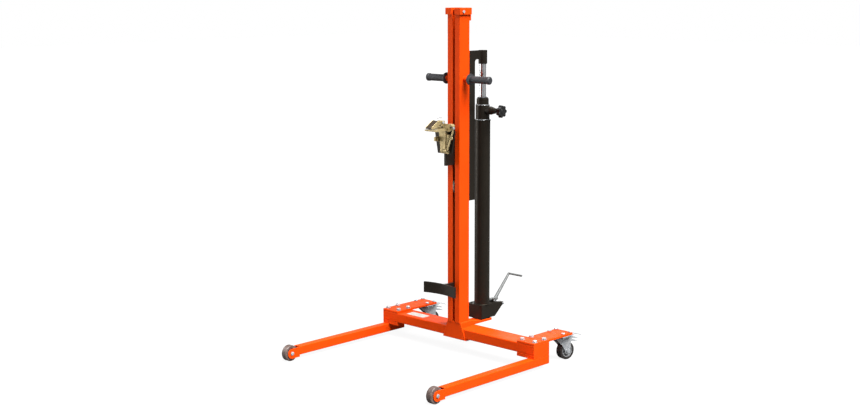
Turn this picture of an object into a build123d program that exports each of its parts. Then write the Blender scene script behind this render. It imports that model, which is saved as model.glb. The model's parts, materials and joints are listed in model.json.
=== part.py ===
"""Hydraulic drum stacker: straddle base, slotted mast, rim clamp, foot-pumped lift cylinder.

Row frame: origin on the floor in the middle of the footprint, +Z up, -Y forward (the legs point that way),
+X to the operator's left when facing the load. The dimensions below are laid out from the centre line of the
cross beam, and save() moves every piece back by FOOTPRINT_Y into the row frame. All in millimetres.
"""
from build123d import *
import os

os.makedirs("parts", exist_ok=True)

FOOTPRINT_Y = 189.6        # centre line of the cross beam, behind the middle of the footprint

# ---- base frame ----
BASE_HALF = 490.0          # outside half width over the legs
BEAM_DEPTH = 110.0
BEAM_Z0 = 79.0
BEAM_Z1 = 125.0
BEAM_WALL = 4.0
END_T = 4.0                # plates that close the ends of the beam
LEG = 40.0                 # square leg tube
LEG_WALL = 3.5
LEG_Z0 = 22.0
LEG_Z1 = 62.0
LEG_CORNER = 3.5
LEG_STEP_Y = -640.0        # the tube ends here and its side walls carry on as a fork
FORK_ROOT_Y = -600.0       # the fork walls start inside the tube
FORK_TOP_Y = -655.0
FORK_STEP_Z = 25.5
FORK_Z0 = 13.5
FORK_Z1 = 59.5
ROLLER_Y = -686.0
ROLLER_R = 37.5
ROLLER_W = 30.0
ROLLER_AXLE_R = 6.0
ROLLER_HEAD = (9.0, 3.0)   # radius and thickness of an axle head
ROLLER_RECESS = (25.0, 12.0, 3.0)  # outer radius, hub radius, depth
PLATE_T = 10.0             # outrigger plate
PLATE_W = 102.0
PLATE_Y1 = 230.0
PLATE_CORNER = 5.0
STACK_W = 98.0             # plates bolted between beam and legs
FLANGE_SPLIT_Z = 70.5
BOLT_X = (402.0, 476.0)
BOLT_Y = 33.0
BOLT_R = 6.0
BOLT_PLAY = 0.5
BOLT_WASHER = (12.0, 2.5)  # radius and thickness
BOLT_HEAD = (9.5, 7.5)     # half width across flats and height
LABEL_AT = (-294.0, -4.0)
LABEL = (116.0, 50.0)
LABEL_T = 0.8

# ---- rear casters ----
CASTER_X = 439.0
CASTER_Y = 194.0
CASTER_TRAIL = 35.0
CASTER_R = 42.0
CASTER_W = 32.0
RIM_R = 30.0
SWIVEL = -11.0             # both casters stand turned by this angle
CASTER_AXLE_Y = CASTER_Y + CASTER_TRAIL
CASTER_HOLE = (40.0, 25.0)
CASTER_BOLT_R = 5.0
CASTER_BOLT_PLAY = 0.25
CASTER_BOLT_HEAD = (8.5, 6.4)
CASTER_BOLT_TAIL = 12.5    # below the outrigger plate
CASTER_NUT_T = 8.0
CASTER_PLATE = (105.0, 80.0)
CASTER_PLATE_T = 4.0
CASTER_HEAD_Z = 112.0      # the swivel joint
RACE_R = 31.0
KING_PIN_R = 10.0
KING_PIN_TOP = 120.5
FORK_HEAD_R = 34.0
FORK_HEAD_Z0 = 105.0
FORK_GAP = 17.0            # half the space between the fork legs
FORK_T = 3.0
FORK_END_R = 16.0
AXLE_R = 5.0
AXLE_HEAD = (8.0, 6.0)
RIM_DISH = (3.5, 12.0, 8.0)  # lip width, hub radius, depth
TYRE_SHOULDER = 3.0
BRAKE_PIN_R = 2.5
BRAKE_W = 33.0
BRAKE_TAB = (294.0, 6.0, 60.0)  # Y of the side cuts, their width and length
BRAKE_Y = 238.0
BRAKE_Z = 98.0

# ---- mast ----
MAST_HALF = 39.0
MAST_Y0 = -63.0
MAST_Y1 = 4.0
MAST_WALL = 5.0
MAST_CORNER = 2.5
MAST_Z0 = 153.0
MAST_Z1 = 1623.0
SLOT_HALF = 9.0
GUIDE_Y = (MAST_Y0 + MAST_Y1) / 2
GUIDE_R = (MAST_Y1 - MAST_Y0) / 2 - MAST_WALL - 0.05
CAP_Z0 = 1603.0
CAP_Z1 = 1634.0
CAP_T = 8.5
CAP_BOLT_Y = -48.0
CAP_BOLT_Z = CAP_Z0 + 13
CAP_BOLT_R = 4.0
CAP_BOLT_HEAD = (6.5, 5.3)
CAP_EDGE = 1.5
TAB_Z0 = 1575.0
TAB_T = 10.0
BASE_Y = -23.5             # centre of the mast base
BASE = (90.0, 63.0)
BASE_WALL = 10.0
BASE_TOP_T = 8.0
GUSSET_TOP = 43.0
GUSSET_FOOT = 72.0
GUSSET_Z0 = 72.0
GUSSET_T = 5.0
BOTTOM_Z0 = 70.0
BOTTOM_W = 150.0
HANDLE_Y = -30.0
HANDLE_Z = 1307.5
HANDLE_R = 12.5
HANDLE_X1 = 182.0
GRIP_X0 = 72.0
GRIP_X1 = 198.0
GRIP_R = 16.0
GRIP_PROFILE = (           # X and radius, from the guard flange to the end bead
    (GRIP_X0, 0), (GRIP_X0, 26), (GRIP_X0 + 3, 27), (GRIP_X0 + 7, 26), (GRIP_X0 + 8, GRIP_R),
    (GRIP_X1 - 17, GRIP_R), (GRIP_X1 - 14, 18.5), (GRIP_X1 - 5, 18.5), (GRIP_X1, 13), (GRIP_X1, 0)
)

# ---- lift cylinder and pump ----
CYL_Y = 139.5
TUBE_R = 37.0
BORE_R = 32.0
TUBE_Z0 = 208.0
TUBE_Z1 = 1100.0
ROD_R = 16.5
HEAD_Z1 = 1210.0
HEAD_Z0 = 1075.0
KNOB_Z = 1151.0
STEM_R = 5.0
VALVE_R = 19.5
VALVE_TIP_R = 12.0
VALVE_X = (20.0, 55.0, 83.0)  # root, shoulder and tip of the valve boss
KNOB_X = (99.0, 110.0, 127.0)  # collar, lobes and outer face
KNOB_COLLAR_R = 13.0
KNOB_R = 24.0
KNOB_LOBE = (22.0, 8.0, 7)  # pitch radius, lobe radius, count
PISTON_Z = (380.0, 420.0)
ROD_Z1 = 1420.0
PUMP_Z0 = 140.0
PUMP_Z1 = 208.0
PUMP_X0 = -62.0
PUMP_X1 = 33.0
PUMP_Y = (100.0, 196.0)
PUMP_POCKET_Z = 187.0
PUMP_SPIGOT = (-5.0, 22.0)  # X and radius of the foot that stands on the pump plate
PUMP_PLATE_Z1 = 136.0
PUMP_PLATE = (66.0, 168.0)
PUMP_PLATE_Y = 92.0
PUMP_RIB_T = 8.0
PUMP_RIB_Y = (8.0, 92.0)
PUMP_HOLES = (20.0, 115.0, 160.0)  # half spacing in X, then the two rows in Y
REAR_PIN = (254.0, 194.0)
REAR_PIN_HALF = 42.0
PIN_R = 4.0
PEDAL_Y = 203.0
PEDAL_Z = 216.0
EAR_X = (15.1, 24.0)       # ears that carry the pedal pin
EAR_R = 9.0
PLUNGER_Y = 232.0
PLUNGER_R = 8.0
PLUNGER_CAP_R = 11.0
PLUNGER_Z = (178.0, 200.0)
PLUNGER_CAP_Z = (199.5, 204.5)
LEVER_ROOT = (236.0, 215.0)
LEVER_ELBOW = (339.0, 325.0)
LEVER_R = (8.6, 5.8)
LEVER_ELBOW_R = 5.3
LEVER_ARM_R = 5.0
LEVER_ARM = 84.0
LEVER_SOCKET_HALF = 10.0
FIT = 0.05                 # radial clearance of every running fit

# ---- carriage and clamp ----
CARRIAGE_HALF = 6.0
BAR_Y1 = 78.8
BAR_Z0 = 727.0
HOOK_Z = 1434.0
SPINE_Z0 = 291.0
ROLLER_Z_LOW = 800.0
ROLLER_Z_HIGH = 985.0
CLAMP_Y = -126.0
CLAMP_Z = 982.0
BEAK_Y = -148.0
BEAK_Z = 1113.0
BEAK_PIN_R = 4.0
BEAK_HALF = 17.0
CHEEK_T = 2.5
BEAK_PROFILE = (
    (-228, 1089), (-229, 1095), (-184, 1124), (-176, 1121), (-176, 1110), (-186, 1106), (-212, 1090)
)
CLAMP_PIN_R = 6.0
CLAMP_BOSS_R = 15.0
SADDLE_R = 285.0
SADDLE_Y = -145.0
SADDLE_T = 8.0
SADDLE_W = 200.0
SADDLE_Z0 = 300.0
SADDLE_H = 52.0
GUIDE_AXLE_R = 6.0
GUIDE_AXLE_HALF = 33.0
GUIDE_W = 25.0


def save(part, label):
    """Move a finished piece into the row frame, name it and write its STEP file."""
    part = part.moved(Location((0, FOOTPRINT_Y, 0)))
    part.label = label
    export_step(part, f"parts/{label}.step")


def along_x(x, y, z):
    """Plane whose normal is +X at a point."""
    return Plane(origin=(x, y, z), x_dir=(0, 1, 0), z_dir=(1, 0, 0))


def side_plane(x):
    """Plane of a side profile: local x is Y, local y is Z, normal +X."""
    return Plane(origin=(x, 0, 0), x_dir=(0, 1, 0), z_dir=(1, 0, 0))


# ======================= base frame =======================

with BuildPart() as cross_beam:
    with BuildSketch(Plane.XY.offset(BEAM_Z0)):
        Rectangle(2 * (BASE_HALF - END_T), BEAM_DEPTH)
    extrude(amount=BEAM_Z1 - BEAM_Z0)
    fillet(cross_beam.edges().filter_by(Axis.X), BEAM_WALL)
    inner = BEAM_DEPTH - 2 * BEAM_WALL
    with BuildSketch(Plane.YZ.offset(-BASE_HALF)):
        with Locations((0, (BEAM_Z0 + BEAM_Z1) / 2)):
            Rectangle(inner, BEAM_Z1 - BEAM_Z0 - 2 * BEAM_WALL)
    extrude(amount=2 * BASE_HALF, mode=Mode.SUBTRACT)
    with BuildSketch(Plane.XY.offset(BEAM_Z0 - 1)):
        with Locations(*[(sx * x, sy * BOLT_Y) for sx in (-1, 1) for x in BOLT_X for sy in (-1, 1)]):
            Circle(BOLT_R + BOLT_PLAY)
    extrude(amount=60, mode=Mode.SUBTRACT)
save(cross_beam.part, "cross_beam")

with BuildPart() as beam_end_plates:
    for side in (-1, 1):
        with BuildSketch(side_plane(side * BASE_HALF - (END_T if side > 0 else 0))):
            with Locations((0, (LEG_Z1 + BEAM_Z1) / 2)):
                Rectangle(BEAM_DEPTH, BEAM_Z1 - LEG_Z1)
        extrude(amount=END_T)
save(beam_end_plates.part, "beam_end_plates")


def leg(side):
    """Square tube with a forked front end for the roller."""
    centre = side * (BASE_HALF - LEG / 2)
    length = BEAM_DEPTH / 2 - LEG_STEP_Y
    with BuildPart() as piece:
        with BuildSketch(Plane.XZ.offset(-BEAM_DEPTH / 2)):
            with Locations((centre, (LEG_Z0 + LEG_Z1) / 2)):
                RectangleRounded(LEG, LEG, LEG_CORNER)
                RectangleRounded(LEG - 2 * LEG_WALL, LEG - 2 * LEG_WALL, 1.5, mode=Mode.SUBTRACT)
        extrude(amount=length)
        for x in (centre - LEG / 2, centre + LEG / 2 - LEG_WALL):
            with BuildSketch(side_plane(x)):
                with BuildLine():
                    Polyline(
                        (FORK_ROOT_Y, FORK_Z1 - 1), (FORK_ROOT_Y, FORK_STEP_Z), (LEG_STEP_Y, FORK_STEP_Z),
                        (LEG_STEP_Y, FORK_Z0), (ROLLER_Y, FORK_Z0)
                    )
                    ThreePointArc(
                        (ROLLER_Y, FORK_Z0), (ROLLER_Y - 23.5, (FORK_Z0 + FORK_Z1) / 2), (ROLLER_Y, FORK_Z1)
                    )
                    Polyline((ROLLER_Y, FORK_Z1), (FORK_TOP_Y, FORK_Z1), (FORK_ROOT_Y, FORK_Z1 - 1))
                make_face()
            extrude(amount=LEG_WALL)
        with BuildSketch(along_x(centre - LEG, ROLLER_Y, ROLLER_R)):
            Circle(ROLLER_AXLE_R)
        extrude(amount=2 * LEG, mode=Mode.SUBTRACT)
    return piece.part


save(leg(-1), "left_leg")
save(leg(1), "right_leg")


def leg_stack(z0, z1, hole_r):
    """Pair of plates between beam and legs, one on each side."""
    with BuildPart() as piece:
        for side in (-1, 1):
            with BuildSketch(Plane.XY.offset(z0)):
                with Locations((side * (BASE_HALF - END_T - STACK_W / 2), 0)):
                    Rectangle(STACK_W, BEAM_DEPTH)
                with Locations(*[(side * x, sy * BOLT_Y) for x in BOLT_X for sy in (-1, 1)]):
                    Circle(hole_r, mode=Mode.SUBTRACT)
            extrude(amount=z1 - z0)
    return piece.part


save(leg_stack(LEG_Z1, FLANGE_SPLIT_Z, BOLT_R), "leg_flanges")
save(leg_stack(FLANGE_SPLIT_Z, BEAM_Z0, BOLT_R + BOLT_PLAY), "beam_feet")


def outrigger_plate(side):
    """Flat plate on top of the beam that reaches back over the caster."""
    with BuildPart() as piece:
        with BuildSketch(Plane.XY.offset(BEAM_Z1)):
            with Locations((side * (BASE_HALF - PLATE_W / 2), (PLATE_Y1 - BEAM_DEPTH / 2) / 2)):
                Rectangle(PLATE_W, PLATE_Y1 + BEAM_DEPTH / 2)
            with Locations(*[(side * x, sy * BOLT_Y) for x in BOLT_X for sy in (-1, 1)]):
                Circle(BOLT_R + BOLT_PLAY, mode=Mode.SUBTRACT)
            with Locations((side * CASTER_X, CASTER_Y)):
                with GridLocations(2 * CASTER_HOLE[0], 2 * CASTER_HOLE[1], 2, 2):
                    Circle(CASTER_BOLT_R + CASTER_BOLT_PLAY, mode=Mode.SUBTRACT)
        extrude(amount=PLATE_T)
        fillet(piece.edges().filter_by(Axis.Z).sort_by(Axis.Y)[-2:], PLATE_CORNER)
    return piece.part


save(outrigger_plate(-1), "left_outrigger_plate")
save(outrigger_plate(1), "right_outrigger_plate")

with BuildPart() as frame_bolts:
    top = BEAM_Z1 + PLATE_T
    spots = [(sx * x, sy * BOLT_Y) for sx in (-1, 1) for x in BOLT_X for sy in (-1, 1)]
    for spot in spots:
        with BuildSketch(Plane.XY.offset(LEG_Z1 + 1)):
            with Locations(spot):
                Circle(BOLT_R)
        extrude(amount=top - LEG_Z1 - 1)
        with BuildSketch(Plane.XY.offset(top)):
            with Locations(spot):
                Circle(BOLT_WASHER[0])
        extrude(amount=BOLT_WASHER[1])
        with BuildSketch(Plane.XY.offset(top + BOLT_WASHER[1])):
            with Locations(spot):
                RegularPolygon(BOLT_HEAD[0], 6, major_radius=False)
        extrude(amount=BOLT_HEAD[1])
save(frame_bolts.part, "frame_bolts")

with BuildPart() as caster_bolts:
    top = BEAM_Z1 + PLATE_T
    spots = [
        (side * CASTER_X + dx * CASTER_HOLE[0], CASTER_Y + dy * CASTER_HOLE[1])
        for side in (-1, 1)
        for dx in (-1, 1)
        for dy in (-1, 1)
    ]
    for spot in spots:
        with BuildSketch(Plane.XY.offset(BEAM_Z1 - CASTER_BOLT_TAIL)):
            with Locations(spot):
                Circle(CASTER_BOLT_R)
        extrude(amount=PLATE_T + CASTER_BOLT_TAIL)
        with BuildSketch(Plane.XY.offset(top)):
            with Locations(spot):
                RegularPolygon(CASTER_BOLT_HEAD[0], 6, major_radius=False)
        extrude(amount=CASTER_BOLT_HEAD[1])
save(caster_bolts.part, "caster_bolts")

with BuildPart() as caster_nuts:
    for spot in spots:
        with BuildSketch(Plane.XY.offset(BEAM_Z1 - CASTER_PLATE_T - CASTER_NUT_T)):
            with Locations(spot):
                RegularPolygon(CASTER_BOLT_HEAD[0], 6, major_radius=False)
                Circle(CASTER_BOLT_R, mode=Mode.SUBTRACT)
        extrude(amount=CASTER_NUT_T)
save(caster_nuts.part, "caster_nuts")

with BuildPart() as data_plate:
    with BuildSketch(Plane.XY.offset(BEAM_Z1)):
        with Locations(LABEL_AT):
            RectangleRounded(*LABEL, 4)
    extrude(amount=LABEL_T)
save(data_plate.part, "data_plate")

# ======================= front rollers =======================

with BuildPart() as front_axles:
    for side in (-1, 1):
        centre = side * (BASE_HALF - LEG / 2)
        with BuildSketch(along_x(centre - LEG / 2, ROLLER_Y, ROLLER_R)):
            Circle(ROLLER_AXLE_R)
        extrude(amount=LEG)
        for x in (centre - LEG / 2 - ROLLER_HEAD[1], centre + LEG / 2):
            with BuildSketch(along_x(x, ROLLER_Y, ROLLER_R)):
                Circle(ROLLER_HEAD[0])
            extrude(amount=ROLLER_HEAD[1])
save(front_axles.part, "front_axles")


def front_roller(side):
    """Solid roller with rounded shoulders and a plain bore."""
    centre = side * (BASE_HALF - LEG / 2)
    with BuildPart() as piece:
        with BuildSketch(along_x(centre - ROLLER_W / 2, ROLLER_Y, ROLLER_R)):
            Circle(ROLLER_R)
        extrude(amount=ROLLER_W)
        fillet(piece.edges(), 5)
        with BuildSketch(along_x(centre - ROLLER_W / 2, ROLLER_Y, ROLLER_R)):
            Circle(ROLLER_AXLE_R + FIT)
        extrude(amount=ROLLER_W, mode=Mode.SUBTRACT)
        outer, hub, depth = ROLLER_RECESS
        for x in (centre - ROLLER_W / 2, centre + ROLLER_W / 2 - depth):
            with BuildSketch(along_x(x, ROLLER_Y, ROLLER_R)):
                Circle(outer)
                Circle(hub, mode=Mode.SUBTRACT)
            extrude(amount=depth, mode=Mode.SUBTRACT)
    return piece.part


save(front_roller(-1), "left_front_roller")
save(front_roller(1), "right_front_roller")


# ======================= rear casters =======================

def caster_plate(side):
    """Top plate with a pressed bearing race and the king-pin bore."""
    with BuildPart() as piece:
        with BuildSketch(Plane.XY.offset(BEAM_Z1 - CASTER_PLATE_T)):
            with Locations((side * CASTER_X, CASTER_Y)):
                RectangleRounded(*CASTER_PLATE, 8)
                with GridLocations(2 * CASTER_HOLE[0], 2 * CASTER_HOLE[1], 2, 2):
                    Circle(CASTER_BOLT_R + CASTER_BOLT_PLAY, mode=Mode.SUBTRACT)
        extrude(amount=CASTER_PLATE_T)
        with BuildSketch(Plane.XY.offset(CASTER_HEAD_Z)):
            with Locations((side * CASTER_X, CASTER_Y)):
                Circle(RACE_R)
        extrude(amount=BEAM_Z1 - CASTER_PLATE_T - CASTER_HEAD_Z)
        with BuildSketch(Plane.XY.offset(CASTER_HEAD_Z)):
            with Locations((side * CASTER_X, CASTER_Y)):
                Circle(KING_PIN_R + FIT)
        extrude(amount=KING_PIN_TOP + 0.5 - CASTER_HEAD_Z, mode=Mode.SUBTRACT)
    return piece.part


def swivelled(part, side):
    """Turn a finished caster piece about its swivel axis."""
    return part.rotate(Axis((side * CASTER_X, CASTER_Y, 0), (0, 0, 1)), SWIVEL)


def caster_fork(side):
    """Swivel head with two tapered legs reaching back to the wheel axle."""
    cx = side * CASTER_X
    with BuildPart() as piece:
        with BuildSketch(Plane.XY.offset(FORK_HEAD_Z0)):
            with Locations((cx, CASTER_Y)):
                Circle(FORK_HEAD_R)
        extrude(amount=CASTER_HEAD_Z - FORK_HEAD_Z0 - FIT)
        with BuildSketch(Plane.XY.offset(FORK_HEAD_Z0)):
            with Locations((cx, CASTER_Y)):
                Circle(KING_PIN_R)
        extrude(amount=KING_PIN_TOP - FORK_HEAD_Z0)
        for x in (cx - FORK_GAP - FORK_T, cx + FORK_GAP):
            with BuildSketch(side_plane(x)):
                with BuildLine():
                    Polyline(
                        (CASTER_Y - 34, 108), (CASTER_Y - 23, 94), (CASTER_Y - 12, 85), (CASTER_Y + 2, 71),
                        (CASTER_Y + 12, 57), (CASTER_AXLE_Y - FORK_END_R, CASTER_R)
                    )
                    ThreePointArc(
                        (CASTER_AXLE_Y - FORK_END_R, CASTER_R), (CASTER_AXLE_Y, CASTER_R - FORK_END_R),
                        (CASTER_AXLE_Y + FORK_END_R, CASTER_R)
                    )
                    Polyline(
                        (CASTER_AXLE_Y + FORK_END_R, CASTER_R), (CASTER_AXLE_Y + 18, 79), (BRAKE_Y + 10, 92),
                        (BRAKE_Y + 10, 102), (BRAKE_Y + 3, 108), (CASTER_Y - 34, 108)
                    )
                make_face()
                with Locations((CASTER_AXLE_Y, CASTER_R)):
                    Circle(AXLE_R, mode=Mode.SUBTRACT)
            extrude(amount=FORK_T)
        with BuildSketch(along_x(cx - FORK_GAP - FORK_T, BRAKE_Y, BRAKE_Z)):
            Circle(BRAKE_PIN_R)
        extrude(amount=2 * (FORK_GAP + FORK_T))
    return swivelled(piece.part, side)


def caster_axle(side):
    """Wheel bolt with a hex head at one end and a nut at the other."""
    cx = side * CASTER_X
    with BuildPart() as piece:
        with BuildSketch(along_x(cx - FORK_GAP - FORK_T, CASTER_AXLE_Y, CASTER_R)):
            Circle(AXLE_R)
        extrude(amount=2 * (FORK_GAP + FORK_T))
        for x in (cx - FORK_GAP - FORK_T - AXLE_HEAD[1], cx + FORK_GAP + FORK_T):
            with BuildSketch(along_x(x, CASTER_AXLE_Y, CASTER_R)):
                RegularPolygon(AXLE_HEAD[0], 6, major_radius=False)
            extrude(amount=AXLE_HEAD[1])
    return swivelled(piece.part, side)


def caster_rim(side):
    """Moulded wheel centre with dished faces."""
    cx = side * CASTER_X
    half = CASTER_W / 2
    with BuildPart() as piece:
        with BuildSketch(along_x(cx - half, CASTER_AXLE_Y, CASTER_R)):
            Circle(RIM_R)
        extrude(amount=CASTER_W)
        lip, hub, depth = RIM_DISH
        for x in (cx - half, cx + half - depth):
            with BuildSketch(along_x(x, CASTER_AXLE_Y, CASTER_R)):
                Circle(RIM_R - lip)
                Circle(hub, mode=Mode.SUBTRACT)
            extrude(amount=depth, mode=Mode.SUBTRACT)
        with BuildSketch(along_x(cx - half, CASTER_AXLE_Y, CASTER_R)):
            Circle(AXLE_R + FIT)
        extrude(amount=CASTER_W, mode=Mode.SUBTRACT)
    return swivelled(piece.part, side)


def caster_tyre(side):
    """Tread ring bonded over the wheel centre."""
    cx = side * CASTER_X
    with BuildPart() as piece:
        with BuildSketch(along_x(cx - CASTER_W / 2, CASTER_AXLE_Y, CASTER_R)):
            Circle(CASTER_R)
        extrude(amount=CASTER_W)
        fillet(piece.edges(), TYRE_SHOULDER)
        with BuildSketch(along_x(cx - CASTER_W / 2, CASTER_AXLE_Y, CASTER_R)):
            Circle(RIM_R)
        extrude(amount=CASTER_W, mode=Mode.SUBTRACT)
    return swivelled(piece.part, side)


def brake_pedal(side):
    """Pressed toe pedal with two tabs; it hinges on a cross pin between the fork legs."""
    cx = side * CASTER_X
    with BuildPart() as piece:
        with BuildSketch(side_plane(cx - BRAKE_W / 2)):
            Polygon(
                (231, 91), (231, 104), (244, 107.5), (262, 109.5), (280, 117.5), (304, 112), (317, 106),
                (316, 103.5), (303, 109.5), (280, 115), (264, 107), (253, 104), (296, 94), (295.5, 91.5),
                (256, 98.5), (256, 88.5), (297.5, 78.5), (297, 76), (252, 85), (240, 88), align=None
            )
            with Locations((BRAKE_Y, BRAKE_Z)):
                Circle(BRAKE_PIN_R + FIT, mode=Mode.SUBTRACT)
        extrude(amount=BRAKE_W)
        cut_y, cut_w, cut_l = BRAKE_TAB
        with BuildSketch(Plane.XY):
            with Locations((cx - 16, cut_y), (cx + 16, cut_y)):
                Rectangle(cut_w, cut_l)
        extrude(amount=BEAM_Z1, mode=Mode.SUBTRACT)
    return swivelled(piece.part, side)


for name, side in (("left", -1), ("right", 1)):
    save(caster_plate(side), f"{name}_caster_plate")
    save(caster_fork(side), f"{name}_caster_fork")
    save(caster_axle(side), f"{name}_caster_axle")
    save(caster_rim(side), f"{name}_caster_rim")
    save(caster_tyre(side), f"{name}_caster_tyre")
    save(brake_pedal(side), f"{name}_brake_pedal")


# ======================= mast =======================

def mast_channel(side):
    """One lipped channel; two of them face each other across the slot."""
    outer = side * MAST_HALF
    inner = side * (MAST_HALF - MAST_WALL)
    lip = side * SLOT_HALF
    with BuildPart() as piece:
        with BuildSketch(Plane.XY.offset(MAST_Z0)):
            with BuildLine():
                Polyline(
                    (lip, MAST_Y0), (outer, MAST_Y0), (outer, MAST_Y1), (lip, MAST_Y1),
                    (lip, MAST_Y1 - MAST_WALL), (inner, MAST_Y1 - MAST_WALL),
                    (inner, MAST_Y0 + MAST_WALL), (lip, MAST_Y0 + MAST_WALL), (lip, MAST_Y0)
                )
            make_face()
        extrude(amount=MAST_Z1 - MAST_Z0)
        upright = piece.edges().filter_by(Axis.Z)
        fillet(upright.filter_by(lambda edge: abs(abs(edge.center().X) - MAST_HALF) < 0.1), MAST_CORNER)
        with BuildSketch(along_x(min(outer, inner) - 1, CAP_BOLT_Y, CAP_BOLT_Z)):
            Circle(CAP_BOLT_R)
        extrude(amount=MAST_WALL + 2, mode=Mode.SUBTRACT)
    return piece.part


save(mast_channel(-1), "left_mast_channel")
save(mast_channel(1), "right_mast_channel")

with BuildPart() as mast_base:
    with BuildSketch(Plane.XY.offset(BEAM_Z1)):
        with Locations((0, BASE_Y)):
            Rectangle(*BASE)
    extrude(amount=MAST_Z0 - BEAM_Z1)
    with BuildSketch(Plane.XY.offset(BEAM_Z1)):
        with Locations((0, BASE_Y)):
            Rectangle(BASE[0] - 2 * BASE_WALL, BASE[1] - 2 * BASE_WALL)
    extrude(amount=MAST_Z0 - BEAM_Z1 - BASE_TOP_T, mode=Mode.SUBTRACT)
save(mast_base.part, "mast_base")

with BuildPart() as front_gusset:
    with BuildSketch(Plane.XZ.offset(BEAM_DEPTH / 2)):
        Polygon(
            (-GUSSET_TOP, MAST_Z0), (GUSSET_TOP, MAST_Z0),
            (GUSSET_FOOT, GUSSET_Z0), (-GUSSET_FOOT, GUSSET_Z0), align=None
        )
    extrude(amount=GUSSET_T)
save(front_gusset.part, "front_gusset")

with BuildPart() as bottom_plate:
    with BuildSketch(Plane.XY.offset(BOTTOM_Z0)):
        Rectangle(BOTTOM_W, BEAM_DEPTH)
    extrude(amount=BEAM_Z0 - BOTTOM_Z0)
save(bottom_plate.part, "bottom_plate")

with BuildPart() as pump_plate:
    with BuildSketch(Plane.XY.offset(BEAM_Z1)):
        with Locations((0, PUMP_PLATE_Y)):
            Rectangle(*PUMP_PLATE)
    extrude(amount=PUMP_PLATE_Z1 - BEAM_Z1)
    for x in (-PUMP_PLATE[0] / 2, PUMP_PLATE[0] / 2 - PUMP_RIB_T):
        with BuildSketch(side_plane(x)):
            Polygon(
                (PUMP_RIB_Y[0], PUMP_PLATE_Z1), (PUMP_RIB_Y[1], PUMP_PLATE_Z1), (PUMP_RIB_Y[0], MAST_Z0 - 1),
                align=None
            )
        extrude(amount=PUMP_RIB_T)
    with BuildSketch(Plane.XY.offset(BEAM_Z1)):
        with Locations(*[(sx * PUMP_HOLES[0], y) for sx in (-1, 1) for y in PUMP_HOLES[1:]]):
            Circle(5)
    extrude(amount=20, mode=Mode.SUBTRACT)
save(pump_plate.part, "pump_plate")

with BuildPart() as mast_caps:
    for side in (-1, 1):
        x_out = MAST_HALF + CAP_T
        x_mid = side * (x_out + SLOT_HALF) / 2
        with BuildSketch(Plane.XY.offset(CAP_Z0)):
            with Locations((x_mid, GUIDE_Y)):
                Rectangle(x_out - SLOT_HALF, MAST_Y1 - MAST_Y0 + 11)
        extrude(amount=CAP_Z1 - CAP_Z0)
        with BuildSketch(Plane.XY.offset(CAP_Z0)):
            with Locations((side * MAST_HALF / 2, GUIDE_Y)):
                Rectangle(MAST_HALF, MAST_Y1 - MAST_Y0)
        extrude(amount=MAST_Z1 - CAP_Z0, mode=Mode.SUBTRACT)
        with BuildSketch(along_x(min(side * 30, side * 60), CAP_BOLT_Y, CAP_BOLT_Z)):
            Circle(CAP_BOLT_R)
        extrude(amount=30, mode=Mode.SUBTRACT)
    chamfer(mast_caps.edges().group_by(Axis.Z)[-1], CAP_EDGE)
save(mast_caps.part, "mast_caps")

with BuildPart() as cap_bolts:
    for side in (-1, 1):
        x0 = side * (MAST_HALF - MAST_WALL)
        x1 = side * (MAST_HALF + CAP_T)
        with BuildSketch(along_x(min(x0, x1), CAP_BOLT_Y, CAP_BOLT_Z)):
            Circle(CAP_BOLT_R)
        extrude(amount=abs(x1 - x0))
        with BuildSketch(along_x(x1 if side > 0 else x1 - CAP_BOLT_HEAD[1], CAP_BOLT_Y, CAP_BOLT_Z)):
            RegularPolygon(CAP_BOLT_HEAD[0], 6, major_radius=False)
        extrude(amount=CAP_BOLT_HEAD[1])
save(cap_bolts.part, "cap_bolts")

with BuildPart() as mast_tabs:
    for side in (-1, 1):
        with BuildSketch(Plane.XY.offset(TAB_Z0)):
            with Locations((side * (MAST_HALF + SLOT_HALF) / 2, MAST_Y1 + TAB_T / 2)):
                Rectangle(MAST_HALF - SLOT_HALF, TAB_T)
        extrude(amount=CAP_Z0 - TAB_Z0)
save(mast_tabs.part, "mast_tabs")

with BuildPart() as handle_stubs:
    for side in (-1, 1):
        with BuildSketch(along_x(min(side * MAST_HALF, side * HANDLE_X1), HANDLE_Y, HANDLE_Z)):
            Circle(HANDLE_R)
        extrude(amount=HANDLE_X1 - MAST_HALF)
save(handle_stubs.part, "handle_stubs")


def grip(side):
    """Rubber sleeve with a hand guard flange and a bulged end."""
    with BuildPart() as piece:
        with BuildSketch(Plane.XZ.offset(-HANDLE_Y)):
            with BuildLine():
                Polyline(
                    *[(side * x, HANDLE_Z + radius) for x, radius in GRIP_PROFILE],
                    (side * GRIP_X0, HANDLE_Z)
                )
            make_face()
        revolve(axis=Axis((0, HANDLE_Y, HANDLE_Z), (1, 0, 0)))
        with BuildSketch(along_x(min(side * GRIP_X0, side * HANDLE_X1), HANDLE_Y, HANDLE_Z)):
            Circle(HANDLE_R)
        extrude(amount=HANDLE_X1 - GRIP_X0, mode=Mode.SUBTRACT)
    return piece.part


save(grip(-1), "left_grip")
save(grip(1), "right_grip")

# ======================= lift cylinder =======================

with BuildPart() as cylinder_tube:
    with BuildSketch(Plane.XY.offset(TUBE_Z0)):
        with Locations((0, CYL_Y)):
            Circle(TUBE_R)
    extrude(amount=TUBE_Z1 - TUBE_Z0)
    with BuildSketch(Plane.XY.offset(TUBE_Z0 + 15)):
        with Locations((0, CYL_Y)):
            Circle(BORE_R)
    extrude(amount=TUBE_Z1 - TUBE_Z0, mode=Mode.SUBTRACT)
save(cylinder_tube.part, "cylinder_tube")

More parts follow.
